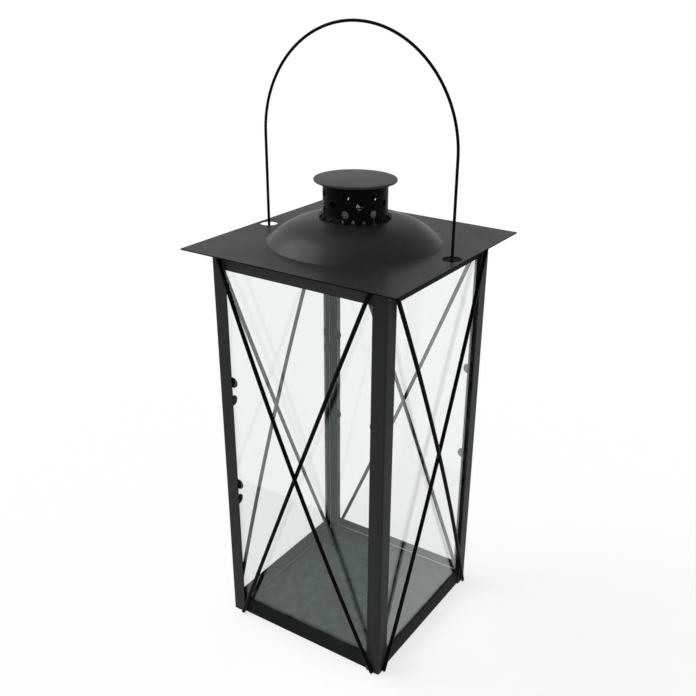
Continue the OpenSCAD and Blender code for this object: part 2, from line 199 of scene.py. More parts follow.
def wire(path: np.ndarray, diameter: float, across: tuple, sides: int) -> tuple:
    """Round wire along a flat curve, with its cut ends slightly rounded.

    At each station the circle lies in the plane of the curve's two normals: the constant
    direction across the curve's plane, and that direction's cross product with the
    tangent. The end stations shrink by a quarter circle to a point.

    Args:
        path: points of the centre line.
        diameter: diameter of the wire.
        across: unit normal of the plane that holds the curve.
        sides: number of points round the wire.

    Returns:
        Points and faces.
    """
    radius = diameter / 2
    edge = WIRE_END_ROUND * radius
    first, last = path[0] - path[1], path[-1] - path[-2]
    first, last = first / np.linalg.norm(first), last / np.linalg.norm(last)
    turn = np.radians(np.linspace(90, 0, WIRE_END_STEPS + 1))[:, None]
    # how far each station of an end lies in from the tip, and its radius
    shift = edge * (1 - np.sin(turn))
    end_r = (radius - edge + edge * np.cos(turn))[:, 0]
    head = path[0] - first * shift
    tail = (path[-1] - last * shift)[::-1]
    line = np.vstack([path[:1], head, path[1:-1], tail, path[-1:]])
    size = np.concatenate([[0.0], end_r, np.full(len(path) - 2, radius), end_r[::-1], [0.0]])
    smooth = np.gradient(path, axis=0)
    smooth /= np.linalg.norm(smooth, axis=1, keepdims=True)
    tangent = np.vstack([
        np.repeat(smooth[:1], len(head) + 1, axis=0), smooth[1:-1],
        np.repeat(smooth[-1:], len(tail) + 1, axis=0),
    ])
    angle = around(sides)[None, :, None]
    ring = np.cos(angle) * np.cross(across, tangent)[:, None, :] + np.sin(angle) * across
    points = line[:, None, :] + size[:, None, None] * ring
    return points.reshape(-1, 3), grid_quads(len(line), sides)


def sheet_from_outlines(outlines: list, extra: np.ndarray) -> tuple:
    """Flat triangulated sheet inside a closed outline, with its holes left open.

    Args:
        outlines: closed loops of points; those inside the first are holes.
        extra: further points that the triangles pass through.

    Returns:
        Points in the plane and triangles.
    """
    flat = list(map(Vector, np.vstack(outlines + [extra]).tolist()))
    starts = np.cumsum([0] + [len(loop) for loop in outlines])
    loops = [list(range(start, end)) for start, end in zip(starts[:-1], starts[1:])]
    points, _, faces, *_ = delaunay_2d_cdt(flat, [], loops, TRIANGLES_WITH_HOLES, OUTLINE_TOLERANCE)
    return np.array(points), np.array(faces).tolist()


def wall_inwards(piece: Object, middle_z: float, thickness: float, rim_slot: int = 0) -> None:
    """Turns an open sheet's faces outwards and gives it its wall inwards from them.

    Outwards is where most of the faces' area looks away from a point on the axis.

    Args:
        piece: the open sheet.
        middle_z: height of the point.
        thickness: thickness of the wall.
        rim_slot: number of the material on its cut edges.
    """
    middle = Vector((0, 0, middle_z * MM))
    if sum((p.center - middle).dot(p.normal) * p.area for p in piece.data.polygons) < 0:
        piece.data.flip_normals()
    wall = piece.modifiers.new("wall", "SOLIDIFY")
    wall.thickness = thickness * MM
    wall.offset = -1
    wall.use_even_offset = True
    wall.material_offset_rim = rim_slot


def round_edges(
    piece: Object, width: float, segments: int = 2, angle_deg: float = 40.0,
) -> None:
    """Rounds the edges of a piece.

    Args:
        piece: the piece.
        width: width of the round.
        segments: number of faces across it.
        angle_deg: angle above which an edge is rounded.
    """
    bevel = piece.modifiers.new("edges", "BEVEL")
    bevel.width = width * MM
    bevel.segments = segments
    bevel.limit_method = "ANGLE"
    bevel.angle_limit = math.radians(angle_deg)
    bevel.harden_normals = True


class Wiring:
    """Adds and links the nodes of one shader tree."""

    def __init__(self, tree: NodeTree) -> None:
        """Keeps the tree that the nodes go into, and empties it."""
        self.tree = tree
        tree.nodes.clear()

    def add(self, kind: str, values: dict | None = None, **settings) -> Node:
        """New node with its settings and input values.

        Args:
            kind: Blender's name of the node type.
            values: input name or number to a value or to the socket that feeds it.
            settings: properties of the node.

        Returns:
            The node.
        """
        node = self.tree.nodes.new(kind)
        for key, value in settings.items():
            setattr(node, key, value)
        for key, value in (values or {}).items():
            if isinstance(value, NodeSocket):
                self.tree.links.new(value, node.inputs[key])
            else:
                node.inputs[key].default_value = value
        return node

    def place(self) -> NodeSocket:
        """Place of a point on its object."""
        return self.add("ShaderNodeTexCoord").outputs["Object"]

    def shared(self, name: str, values: dict) -> Node:
        """Node of a shared group with its own input values."""
        return self.add("ShaderNodeGroup", values, node_tree=bpy.data.node_groups[name])

    def math(self, operation: str, first: object, second: object, clamp: bool = False) -> object:
        """Output of a Math node."""
        values = {0: first, 1: second}
        return self.add("ShaderNodeMath", values, operation=operation, use_clamp=clamp).outputs[0]

    def mapped(
        self, value: object, low: float, high: float, to_low: object, to_high: object,
    ) -> object:
        """Output of a clamped Map Range node."""
        return self.add("ShaderNodeMapRange", {
            "Value": value, "From Min": low, "From Max": high, "To Min": to_low, "To Max": to_high,
        }).outputs[0]

    def mixed(self, factor: object, first: object, second: object) -> object:
        """Colour output of a Mix node between two colours."""
        values = {MIX_FACTOR: factor, MIX_A: first, MIX_B: second}
        return self.add("ShaderNodeMix", values, data_type="RGBA").outputs[MIX_RESULT]

    def noise(self, place: object, scale: object, detail: float, roughness: float = 0.5) -> object:
        """Value of a Noise Texture node."""
        return self.add("ShaderNodeTexNoise", {
            "Vector": place, "Scale": scale, "Detail": detail, "Roughness": roughness,
        }).outputs["Fac"]

    def bump(self, height: object, strength: float, depth: float) -> object:
        """Normal of a Bump node whose depth is in millimetres."""
        values = {"Height": height, "Strength": strength, "Distance": depth * MM}
        return self.add("ShaderNodeBump", values).outputs[0]


def opaque(colour: tuple) -> tuple:
    """Colour of three numbers with full alpha."""
    return (*colour, 1.0)


def new_group(name: str, inputs: dict, outputs: tuple) -> tuple:
    """Shader node group that takes a Place and puts out values.

    Args:
        name: name of the group.
        inputs: names of its value inputs, with their defaults.
        outputs: names of its outputs.

    Returns:
        The group's Wiring and the sockets that its inputs come from.
    """
    group = bpy.data.node_groups.new(name, "ShaderNodeTree")
    group.interface.new_socket("Place", in_out="INPUT", socket_type="NodeSocketVector")
    for label, default in inputs.items():
        socket = group.interface.new_socket(label, in_out="INPUT", socket_type="NodeSocketFloat")
        socket.default_value = default
    for label in outputs:
        group.interface.new_socket(label, in_out="OUTPUT", socket_type="NodeSocketFloat")
    w = Wiring(group)
    return w, w.add("NodeGroupInput").outputs


def coat_grain_group() -> None:
    """Grain of a fine-textured coat: cured powder lies in small smooth mounds.

    The group puts out Height, for a Bump node, and Tone, a slow mottling.
    """
    inputs = {"Grain Scale": 900.0, "Mottle Scale": 35.0}
    w, given = new_group("coat_grain", inputs, ("Height", "Tone"))
    place, scale = given["Place"], given["Grain Scale"]
    mounds = w.noise(place, scale, 2.0, 0.45)
    peel = w.noise(place, w.math("MULTIPLY", scale, 0.3), 1.0)
    slow = w.noise(place, given["Mottle Scale"], 4.0, 0.55)
    height = w.math("ADD", w.math("MULTIPLY", mounds, 0.6), w.math("MULTIPLY", peel, 0.4))
    w.add("NodeGroupOutput", {"Height": height, "Tone": w.mapped(slow, 0.3, 0.7, 0.0, 1.0)})


def settled_dust_group() -> None:
    """Fine dust that lies on faces which look up, in soft patches.

    The group puts out Mask, which is the product of how far a face looks up, the stated
    amount, a slow film and fine specks.
    """
    w, given = new_group("settled_dust", {"Amount": 0.3}, ("Mask",))
    facing = w.add("ShaderNodeSeparateXYZ", {0: w.add("ShaderNodeNewGeometry").outputs["Normal"]})
    up = w.mapped(facing.outputs["Z"], 0.5, 1.0, 0.0, 1.0)
    film = w.mapped(w.noise(given["Place"], 18.0, 3.0), 0.35, 0.7, 0.4, 1.0)
    specks = w.mapped(w.noise(given["Place"], 420.0, 3.0), 0.5, 0.68, 0.25, 1.0)
    lying = w.math("MULTIPLY", up, given["Amount"])
    mask = w.math("MULTIPLY", lying, w.math("MULTIPLY", film, specks), clamp=True)
    w.add("NodeGroupOutput", {"Mask": mask})


def glass_film_group() -> None:
    """Faint wipe marks and drawn waviness of a hand-cleaned pane.

    The group puts out Haze, a roughness from 0 to the stated Wiped, and Height, for a
    Bump node.
    """
    w, given = new_group("glass_film", {"Wiped": 0.05}, ("Haze", "Height"))
    stretch = w.add("ShaderNodeMapping", {"Vector": given["Place"], "Scale": (1.0, 1.0, 0.16)})
    wipes = w.noise(stretch.outputs[0], 60.0, 5.0, 0.6)
    waves = w.noise(stretch.outputs[0], 14.0, 0.0)
    haze = w.mapped(wipes, 0.5, 0.75, 0.0, given["Wiped"])
    w.add("NodeGroupOutput", {"Haze": haze, "Height": waves})


@dataclass(frozen=True)
class Finish(ABC):
    """Finish of a piece, which builds its own material."""

    name: str

    @abstractmethod
    def shade(self, w: Wiring) -> Node:
        """Adds the nodes of this finish.

        Args:
            w: the material's wiring.

        Returns:
            The shader node.
        """

    def build(self) -> Material:
        """Builds this finish's material.

        Returns:
            The material.
        """
        material = bpy.data.materials.new(self.name)
        material.use_nodes = True
        w = Wiring(material.node_tree)
        w.add("ShaderNodeOutputMaterial", {"Surface": self.shade(w).outputs[0]})
        return material


@dataclass(frozen=True)
class CoatFinish(Finish):
    """Cured powder coat on sheet or wire."""

    colour: tuple
    light: tuple
    dust: tuple
    rough: tuple
    specular: float
    dust_amount: float
    grain_scale: float = 950.0
    grain_depth: float = 0.11
    mottle_scale: float = 35.0
    gloss_tint: tuple = (1.0, 1.0, 1.0)
    satin: float = 0.0
    satin_rough: float = 0.2
    bump_strength: float = 0.6

    def shade(self, w: Wiring) -> Node:
        """Two tones in a slow mottling, with a fine grain, dust and a satin top layer.

        Args:
            w: the material's wiring.

        Returns:
            The shader node.
        """
        place = w.place()
        grain = w.shared("coat_grain", {
            "Place": place, "Grain Scale": self.grain_scale, "Mottle Scale": self.mottle_scale,
        }).outputs
        dust = w.shared("settled_dust", {"Place": place, "Amount": self.dust_amount}).outputs
        tone = w.mixed(grain["Tone"], opaque(self.colour), opaque(self.light))
        return w.add("ShaderNodeBsdfPrincipled", {
            "Base Color": w.mixed(dust["Mask"], tone, opaque(self.dust)),
            "Roughness": w.mapped(grain["Tone"], 0.0, 1.0, *self.rough),
            "Normal": w.bump(grain["Height"], self.bump_strength, self.grain_depth),
            "Specular IOR Level": self.specular, "Specular Tint": opaque(self.gloss_tint),
            "Coat Weight": self.satin, "Coat Roughness": self.satin_rough,
        })


@dataclass(frozen=True)
class GlassFinish(Finish):
    """Clear float glass that lets the lamp through."""

    tint: tuple
    gloss_tint: tuple
    ior: float
    wiped: float
    wave_depth: float
    bump_strength: float = 0.5

    def shade(self, w: Wiring) -> Node:
        """Glass with a faint film; shadow rays pass it with its tint.

        Args:
            w: the material's wiring.

        Returns:
            The shader node.
        """
        film = w.shared("glass_film", {"Place": w.place(), "Wiped": self.wiped}).outputs
        glass = w.add("ShaderNodeBsdfPrincipled", {
            "Base Color": opaque(self.tint), "Roughness": film["Haze"], "IOR": self.ior,
            "Transmission Weight": 1.0, "Specular Tint": opaque(self.gloss_tint),
            "Normal": w.bump(film["Height"], self.bump_strength, self.wave_depth),
        })
        through = w.add("ShaderNodeBsdfTransparent", {"Color": opaque(self.tint)})
        shadow = w.add("ShaderNodeLightPath").outputs["Is Shadow Ray"]
        return w.add("ShaderNodeMixShader", {0: shadow, 1: glass.outputs[0], 2: through.outputs[0]})


@dataclass(frozen=True)
class GroundFinish(Finish):
    """Ground edge of a pane: the cut glass scatters light and looks pale green."""

    colour: tuple
    light: tuple
    roughness: float
    ior: float = 1.46
    grind_scale: float = 1500.0
    grind_depth: float = 0.05
    bump_strength: float = 0.4

    def shade(self, w: Wiring) -> Node:
        """Two tones with the fine grain of the grinding.

        Args:
            w: the material's wiring.

        Returns:
            The shader node.
        """
        values = {"Place": w.place(), "Grain Scale": self.grind_scale}
        grain = w.shared("coat_grain", values).outputs
        return w.add("ShaderNodeBsdfPrincipled", {
            "Base Color": w.mixed(grain["Tone"], opaque(self.colour), opaque(self.light)),
            "Normal": w.bump(grain["Height"], self.bump_strength, self.grind_depth),
            "Roughness": self.roughness, "IOR": self.ior,
        })


@dataclass(frozen=True)
class SteelFinish(Finish):
    """Drawn steel pin with fine lines along it."""

    colour: tuple
    rough: tuple
    line_scale: float = 2600.0
    line_stretch: float = 0.05

    def shade(self, w: Wiring) -> Node:
        """Metal whose roughness follows the drawn lines.

        Args:
            w: the material's wiring.

        Returns:
            The shader node.
        """
        scale = (1.0, 1.0, self.line_stretch)
        along = w.add("ShaderNodeMapping", {"Vector": w.place(), "Scale": scale}).outputs[0]
        grain = w.shared("coat_grain", {"Place": along, "Grain Scale": self.line_scale})
        return w.add("ShaderNodeBsdfPrincipled", {
            "Base Color": opaque(self.colour), "Metallic": 1.0,
            "Roughness": w.mapped(grain.outputs["Height"], 0.3, 0.7, *self.rough),
        })


class Look(Enum):
    """Every finish of the lantern."""

    SHEET = CoatFinish(
        "coat_sheet", (0.0128, 0.0156, 0.0140), (0.0172, 0.0204, 0.0180),
        dust=(0.105, 0.116, 0.096), rough=(0.42, 0.54), specular=0.32, dust_amount=0.14,
        gloss_tint=(0.86, 1.0, 0.80), satin=0.14,
    )
    BODY = CoatFinish(
        "coat_body", (0.0245, 0.0285, 0.0272), (0.0325, 0.0370, 0.0356),
        dust=(0.09, 0.09, 0.085), rough=(0.44, 0.56), specular=0.12, dust_amount=0.10,
        gloss_tint=(0.90, 1.0, 0.98),
    )
    # painted light: a lighter copy of the body's coat for the front, left and rear head rails, to
    # make up for the roof's shadow on them
    RAIL = replace(
        BODY, name="coat_rail_painted_light", colour=(0.0450, 0.0490, 0.0470), light=(0.0560, 0.0600, 0.0580),
    )
    # painted shade: a darker copy of the coat for the tray's rims and the right head rail, standing
    # in for the shade low down and under the roof
    RIM = CoatFinish(
        "coat_rim_painted_shade", (0.0135, 0.0175, 0.0164), (0.0185, 0.0230, 0.0218),
        dust=(0.06, 0.065, 0.06), rough=(0.40, 0.50), specular=0.02, dust_amount=0.08,
        gloss_tint=(0.85, 1.0, 0.97),
    )
    # painted shade: a near-black copy of the coat for the collar, standing in for the cap's shadow
    # and its dim side
    COLLAR = CoatFinish(
        "coat_collar_painted_shade", (0.0034, 0.0037, 0.0045), (0.0056, 0.0061, 0.0074),
        dust=(0.03, 0.03, 0.03), rough=(0.30, 0.38), specular=0.02, dust_amount=0.05,
        grain_scale=1200.0, grain_depth=0.06,
    )
    FLOOR = CoatFinish(
        "coat_floor", (0.0020, 0.0060, 0.0052), (0.0640, 0.0820, 0.0770),
        dust=(0.090, 0.112, 0.104), rough=(0.45, 0.62), specular=0.08, dust_amount=0.16,
        grain_scale=700.0, grain_depth=0.12, mottle_scale=120.0, gloss_tint=(0.84, 1.0, 0.98),
    )
    # painted shade: near-black cut edges of the roof, standing in for the shadow along and under
    # its rim
    CUT = CoatFinish(
        "coat_cut_edge_painted_shade", (0.0022, 0.0024, 0.0024), (0.0040, 0.0044, 0.0042),
        dust=(0.02, 0.02, 0.02), rough=(0.40, 0.50), specular=0.02, dust_amount=0.05,
        grain_scale=1200.0, grain_depth=0.06,
    )
    KNOB = CoatFinish(
        "coat_knob", (0.0070, 0.0074, 0.0076), (0.0100, 0.0106, 0.0108),
        dust=(0.06, 0.065, 0.06), rough=(0.34, 0.44), specular=0.25, dust_amount=0.08,
        grain_scale=1200.0, grain_depth=0.05, satin=0.6, satin_rough=0.16,
    )
    WIRE = CoatFinish(
        "coat_wire", (0.0012, 0.0014, 0.0016), (0.0020, 0.0022, 0.0025),
        dust=(0.02, 0.02, 0.02), rough=(0.34, 0.44), specular=0.04, dust_amount=0.04,
        grain_scale=1400.0, grain_depth=0.05,
    )
    GLASS = GlassFinish(
        "pane_glass", tint=(0.925, 0.948, 0.943), gloss_tint=(0.80, 0.98, 0.93), ior=1.44,
        wiped=0.03, wave_depth=0.02,
    )
    EDGE = GroundFinish("pane_edge", (0.50, 0.62, 0.58), (0.66, 0.78, 0.74), roughness=0.45)
    # painted shade: a darker copy of the ground edge for the panes' upright edges, for the shadow
    # of the folded posts round them
    SIDE_EDGE = GroundFinish(
        "pane_side_edge_painted_shade", (0.12, 0.22, 0.20), (0.20, 0.32, 0.29), roughness=0.5,
    )
    PIN = SteelFinish("pin_steel", (0.50, 0.50, 0.49), rough=(0.28, 0.42))


@dataclass
class SubAssembly:
    """Part of the lantern that is made together, with the materials that it can take."""

    materials: dict[Look, Material]

    def hand_in(self, piece: Object, slot: Slot, body: Body, node: str, *looks: Look) -> None:
        """Dresses a new piece and tells the frame where it belongs.

        Args:
            piece: the new object.
            slot: the record's material slot; not used.
            body: the body that it rides on.
            node: the frame node that it replaces.
            looks: its finishes, by material number.
        """
        for look in looks:
            piece.data.materials.append(self.materials[look])
        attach(piece, body.value)
        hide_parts(node)
        LOG.info("piece %s on %s for %s", piece.name, body.value, node)


@dataclass
class Roof(SubAssembly):
    """Roof plate with its pressed dome."""

    half_w: float = 84.5
    foot_z: float = 306.2
    sheet_t: float = 0.8
    corner_r: float = 0.8
    corner_steps: int = 4
    dome_r: float = 61.0
    dome_h: float = 17.6
    dome_power: float = 3.6
    flue_r: float = 20.6
    foot_blend: float = 0.35
    foot_in: float = 4.0
    foot_out: float = 3.0
    crown_rings: int = 33
    foot_rings: int = 15
    hole_x: float = 76.0
    hole_r: float = 6.5
    hole_steps: int = 48
    grid_half: float = 80.0
    grid_step: float = 8.0
    ring_margin: float = 3.0
    hole_margin: float = 2.0
    edge_r: float = 0.18
    smooth_deg: float = 50.0
    segments: int = 192

    def crown(self, radius: np.ndarray) -> np.ndarray:
        """Height of the dome above the plate, as a power curve that runs on below it."""
        return self.dome_h * (1 - (radius / self.dome_r) ** self.dome_power)

    def dome(self) -> tuple:
        """Dome from the flue to a circle on the plate.

        The height is a soft maximum of the power curve and the plate, which gives the
        pressed foot its radius. What is left of it beyond the foot fades out in a line.

        Returns:
            Points and faces.
        """
        foot = self.dome_r - self.foot_in
        radii = np.concatenate([
            np.linspace(self.flue_r, foot, self.crown_rings, endpoint=False),
            np.linspace(foot, self.dome_r + self.foot_out, self.foot_rings),
        ])
        heights = self.foot_blend * np.logaddexp(0, self.crown(radii) / self.foot_blend)
        heights -= heights[-1] * np.clip((radii - self.dome_r) / self.foot_out, 0, 1)
        return revolved(columns(radii, self.foot_z + self.sheet_t + heights), self.segments)

    def plate(self) -> tuple:
        """Flat plate round the dome, with the clearance holes for the bail's legs.

        Returns:
            Points and faces.
        """
        outer_r = self.dome_r + self.foot_out
        c, r = self.half_w - self.corner_r, self.corner_r
        corners = ((1, 1, 0), (-1, 1, 90), (-1, -1, 180), (1, -1, 270))
        outline = np.vstack([arc((sx * c, sy * c), r, start, start + 90, self.corner_steps)
                             for sx, sy, start in corners])
        angle = around(self.segments)
        ring = columns(outer_r * np.cos(angle), outer_r * np.sin(angle))
        holes = [arc((x, 0), self.hole_r, 0, 360, self.hole_steps)[:-1]
                 for x in (-self.hole_x, self.hole_x)]
        # inner points keep the triangles well shaped
        line = np.arange(-self.grid_half, self.grid_half + self.grid_step / 2, self.grid_step)
        x, y = (a.ravel() for a in np.meshgrid(line, line))
        clear = ((np.hypot(x, y) > outer_r + self.ring_margin)
                 & (np.hypot(np.abs(x) - self.hole_x, y) > self.hole_r + self.hole_margin))
        inner = columns(x[clear], y[clear])
        flat, triangles = sheet_from_outlines([outline, ring, *holes], inner)
        return columns(*flat.T, self.foot_z + self.sheet_t), triangles

    def build(self) -> None:
        """Makes the roof sheet: the dome and the plate, with painted shade on its cut edges."""
        (dome, quads), (plate, triangles) = self.dome(), self.plate()
        faces = quads + (np.array(triangles) + len(dome)).tolist()
        piece = mesh_piece("roof_sheet", np.vstack([dome, plate]), faces, self.smooth_deg)
        wall_inwards(piece, 0.0, self.sheet_t, rim_slot=1)
        round_edges(piece, self.edge_r, 2, self.smooth_deg)
        # the cut edges take painted shade
        self.hand_in(piece, Slot.COAT, Body.LANTERN, "roof_plate", Look.SHEET, Look.CUT)


@dataclass
class Chimney(SubAssembly):
    """Vented collar with its toothed foot, and the cap on it.

    The collar is worked out on its unrolled strip, in arc length round the tube from the
    seam, which lies between two vents and two notches, and in height.
    """

    collar_r: float = 22.4
    sheet_t: float = 0.8
    top_z: float = 349.2
    flare: float = 2.9
    bend_blend: float = 0.35
    roof_z: float = 307.0
    seat_gap: float = 0.1
    tooth_count: int = 20
    notch_w: float = 3.6
    notch_h: float = 3.2
    notch_blunt: float = 0.2
    notch_turn: float = 12.0
    notch_margin: tuple = (0.25, 0.1)
    seam_turn: float = 39.0
    vent_d: float = 5.0
    vents: int = 7
    vent_rows: int = 3
    vent_foot: float = 6.1
    vent_pitch: float = 5.7
    vent_turn: float = -126.0
    vent_steps: int = 28
    vent_margin: float = 0.35
    strip_steps: int = 160
    seam_steps: int = 17
    # rows of points between two heights: how far in from each, and how many
    foot_band: tuple = (0.7, -0.9, 3)
    bend_band: tuple = (-0.6, 0.9, 6)
    wall_band: tuple = (1.8, -0.6, 14)
    collar_edge_r: float = 0.12
    collar_edge_deg: float = 55.0
    collar_sharp_deg: float = 60.0
    cap_r: float = 28.5
    cap_lip: float = 1.5
    cap_edge_r: float = 0.55
    cap_segments: int = 128
    cap_sharp_deg: float = 40.0
    ring_depth: float = 3.0
    round_steps: int = 6

    def __post_init__(self) -> None:
        """Works out the heights of the foot and of the bend, and the strip's length."""
        rise = self.sheet_t * math.sin(math.radians(45))
        dome = Roof(self.materials).crown(self.collar_r + self.flare - rise)
        self.foot = self.roof_z + dome + self.seat_gap
        self.low = self.foot + rise
        self.bend = self.low + self.flare
        self.length = 2 * math.pi * self.collar_r
        self.pitch = self.length / self.tooth_count
        turn = (self.notch_turn - self.seam_turn) % (360 / self.tooth_count)
        self.first_notch = turn / 360 * self.length

    def build(self) -> None:
        """Makes the collar and the cap."""
        self.build_collar()
        self.build_cap()

    def vent_loops(self) -> list:
        """Outlines of the vents on the strip, each row half a step on from the last."""
        turns = [(row, self.vent_turn + 360 / self.vents * (i + (row % 2) / 2))
                 for row in range(self.vent_rows) for i in range(self.vents)]
        return [arc((((turn - self.seam_turn) % 360) / 360 * self.length,
                     self.foot + self.vent_foot + row * self.vent_pitch),
                    self.vent_d / 2, 0, 360, self.vent_steps)[:-1] for row, turn in turns]

    def strip_outline(self) -> np.ndarray:
        """Outline of the strip: straight top, sides at the seam, V notches below.

        Returns:
            The loop of points.
        """
        centres = self.first_notch + self.pitch * np.arange(self.tooth_count)
        half = self.notch_w / 2 * (self.collar_r / (self.collar_r + self.flare))
        apex = self.low + self.notch_h - self.notch_blunt
        teeth = np.stack([columns(centres - half, self.low), columns(centres, apex),
                          columns(centres + half, self.low)], axis=1).reshape(-1, 2)
        top = columns(np.linspace(self.length, 0, self.strip_steps + 1), self.top_z)
        side = np.linspace(self.low, self.top_z, self.seam_steps + 1)[1:-1]
        return np.vstack([[0.0, self.low], teeth, [self.length, self.low],
                          columns(self.length, side), top, columns(0.0, side[::-1])])

    def strip_points(self, vents: list) -> np.ndarray:
        """Inner points of the strip: rows close together at the bend, clear of the holes.

        Args:
            vents: outlines of the vents.

        Returns:
            The points.
        """
        low, bend = self.low, self.bend
        bands = ((low, bend, self.foot_band), (bend, bend, self.bend_band),
                 (bend, self.top_z, self.wall_band))
        rows = np.concatenate([np.linspace(start + above, end + below, count)
                               for start, end, (above, below, count) in bands])
        lines = np.linspace(0, self.length, self.strip_steps + 1)[1:-1]
        u, h = (a.ravel() for a in np.meshgrid(lines, rows))
        off = np.abs((u - self.first_notch + self.pitch / 2) % self.pitch - self.pitch / 2)
        beside, over = self.notch_margin
        keep = (h > low + self.notch_h + over) | (
            off > self.notch_w / 2 * (1 - (h - low) / self.notch_h) + beside)
        for centre in (vent.mean(axis=0) for vent in vents):
            keep &= np.hypot(u - centre[0], h - centre[1]) > self.vent_d / 2 + self.vent_margin
        return columns(u[keep], h[keep])

    def build_collar(self) -> None:
        """Makes the collar by rolling up its strip.

        A point (u, h) goes to the seam's angle plus u / R and height h. Below the bend its
        radius grows by as much as it lies below, which is the 45 degree flare, and a soft
        minimum of the straight wall and the flare makes the bend a short curve.
        """
        vents = self.vent_loops()
        flat, triangles = sheet_from_outlines(
            [self.strip_outline(), *vents], self.strip_points(vents))
        u, height = flat.T
        angle, blend = u / self.collar_r + math.radians(self.seam_turn), self.bend_blend
        radius = self.collar_r + blend * np.logaddexp(0, (self.bend - height) / blend)
        points = columns(radius * np.cos(angle), radius * np.sin(angle), height)
        piece = mesh_piece("collar_sheet", points, triangles, self.collar_sharp_deg)
        wall_inwards(piece, (self.low + self.top_z) / 2, self.sheet_t)
        round_edges(piece, self.collar_edge_r, 1, self.collar_edge_deg)
        # the collar's near-black coat is painted shade
        self.hand_in(piece, Slot.COAT, Body.LANTERN, "chimney_collar", Look.COLLAR)

    def build_cap(self) -> None:
        """Makes the cap: a disc with a rolled lip and the ring that centres it."""
        t, low, r = self.sheet_t, self.top_z, self.cap_r
        edge, steps, top = self.cap_edge_r, self.round_steps, low + t
        ring_r = self.collar_r - t - self.seat_gap
        profile = np.vstack([
            [[0, top], [ring_r, top]],
            arc((r - edge, top - edge), edge, 90, 0, steps),
            arc((r - t / 2, top - self.cap_lip + t / 2), t / 2, 0, -180, steps),
            [[r - t, low], [ring_r, low]],
            arc((ring_r - t / 2, top - t - self.ring_depth + t / 2), t / 2, 0, -180, steps),
            [[ring_r - t, low], [0, low]],
        ])
        form = revolved(profile, self.cap_segments)
        piece = mesh_piece("cap_disc", *form, self.cap_sharp_deg)
        self.hand_in(piece, Slot.COAT, Body.LANTERN, "chimney_cap", Look.SHEET)


@dataclass
class Bail(SubAssembly):
    """Wire carrying bail: two legs, an arc and turned-in ends.

    The photograph's bail is thinner than the frame's; it runs on the same centre line.
    """

    diameter: float = 2.0
    leg_x: float = 76.0
    arc_z: float = 372.0
    pivot_z: float = 300.0
    bend_r: float = 3.5
    end_x: float = 66.8
    arc_steps: int = 96
    leg_steps: int = 11
    bend_steps: int = 10
    end_steps: int = 4
    sides: int = 24
    sharp_deg: float = 50.0

    def build(self) -> None:
        """Makes the bail along its centre line in the plane y = 0."""
        bend_x, bend_z = self.leg_x - self.bend_r, self.pivot_z + self.bend_r
        straight = np.linspace(bend_z, self.arc_z, self.leg_steps + 1)[1:-1]
        end = np.linspace(self.end_x, bend_x, self.end_steps, endpoint=False)
        right = np.vstack([
            columns(end, self.pivot_z), arc((bend_x, bend_z), self.bend_r, -90, 0, self.bend_steps),
            columns(self.leg_x, straight),
        ])
        over = arc((0, self.arc_z), self.leg_x, 0, 180, self.arc_steps)
        flat = np.vstack([right, over, right[::-1] * np.array([-1, 1])])
        path = columns(flat[:, 0], 0.0, flat[:, 1])
        form = wire(path, self.diameter, (0, 1, 0), self.sides)
        piece = mesh_piece("bail_wire", *form, self.sharp_deg)
        self.hand_in(piece, Slot.WIRE, Body.BAIL, "carry_bail", Look.WIRE)


@dataclass
class CrossWires(SubAssembly):
    """Pairs of bowed wires across the four sides."""

    diameter: float = 3.0
    face_y: float = 70.0
    # x of the ends, height of the lower end and height of the upper end
    fixed: tuple = (65.0, 1.0, 305.2)
    front_inner: tuple = (59.5, 1.0, 305.2)
    door: tuple = (62.0, 2.2, 304.2)
    inner_bow: float = 2.0
    outer_bow: float = 5.1
    stations: int = 49
    sides: int = 20
    sharp_deg: float = 50.0

    def path(self, end_x: float, foot: float, top: float, bow: float, rise: int) -> np.ndarray:
        """Centre line of one wire on the front.

        It is the arc of a circle through both ends that stands out by the bow at its
        middle: at distance s from the middle along the chord it stands out by
        sqrt(R^2 - s^2) - (R - bow), with R = (half chord^2 + bow^2) / (2 bow).

        Args:
            end_x: x of the wire's ends.
            foot: height of the lower end.
            top: height of the upper end.
            bow: how far the middle stands out.
            rise: 1 where it rises to +x and -1 where it rises to -x.

        Returns:
            The points.
        """
        half = np.array([rise * end_x, 0, (top - foot) / 2])
        reach = np.linalg.norm(half)
        big_r = (reach ** 2 + bow ** 2) / (2 * bow)
        share = np.linspace(-1, 1, self.stations)[:, None]
        out = np.sqrt(big_r ** 2 - (share * reach) ** 2) - (big_r - bow)
        middle = np.array([0, -self.face_y - self.diameter / 2, (foot + top) / 2])
        return middle + share * half + out * np.array([0, -1, 0])

    def build(self) -> None:
        """Makes the inner and outer wire of every side."""
        for side, label in LABELS.items():
            door = side is Side.REAR
            for layer, bow, rise in (("inner", self.inner_bow, 1), ("outer", self.outer_bow, -1)):
                front_inner = (label, layer) == ("front", "inner")
                ends = self.door if door else self.front_inner if front_inner else self.fixed
                path = self.path(*ends, bow, rise)
                chord = path[-1] - path[0]
                across = tuple(np.cross(chord / np.linalg.norm(chord), (0, -1, 0)))
                points, faces = wire(path, self.diameter, across, self.sides)
                points = turned(points, side)
                piece = mesh_piece(f"wire_{label}_{layer}", points, faces, self.sharp_deg)
                node = f"door_wire_{layer}" if door else f"cross_wire_{label}_{layer}"
                self.hand_in(piece, Slot.WIRE, Body.DOOR if door else Body.LANTERN, node, Look.WIRE)


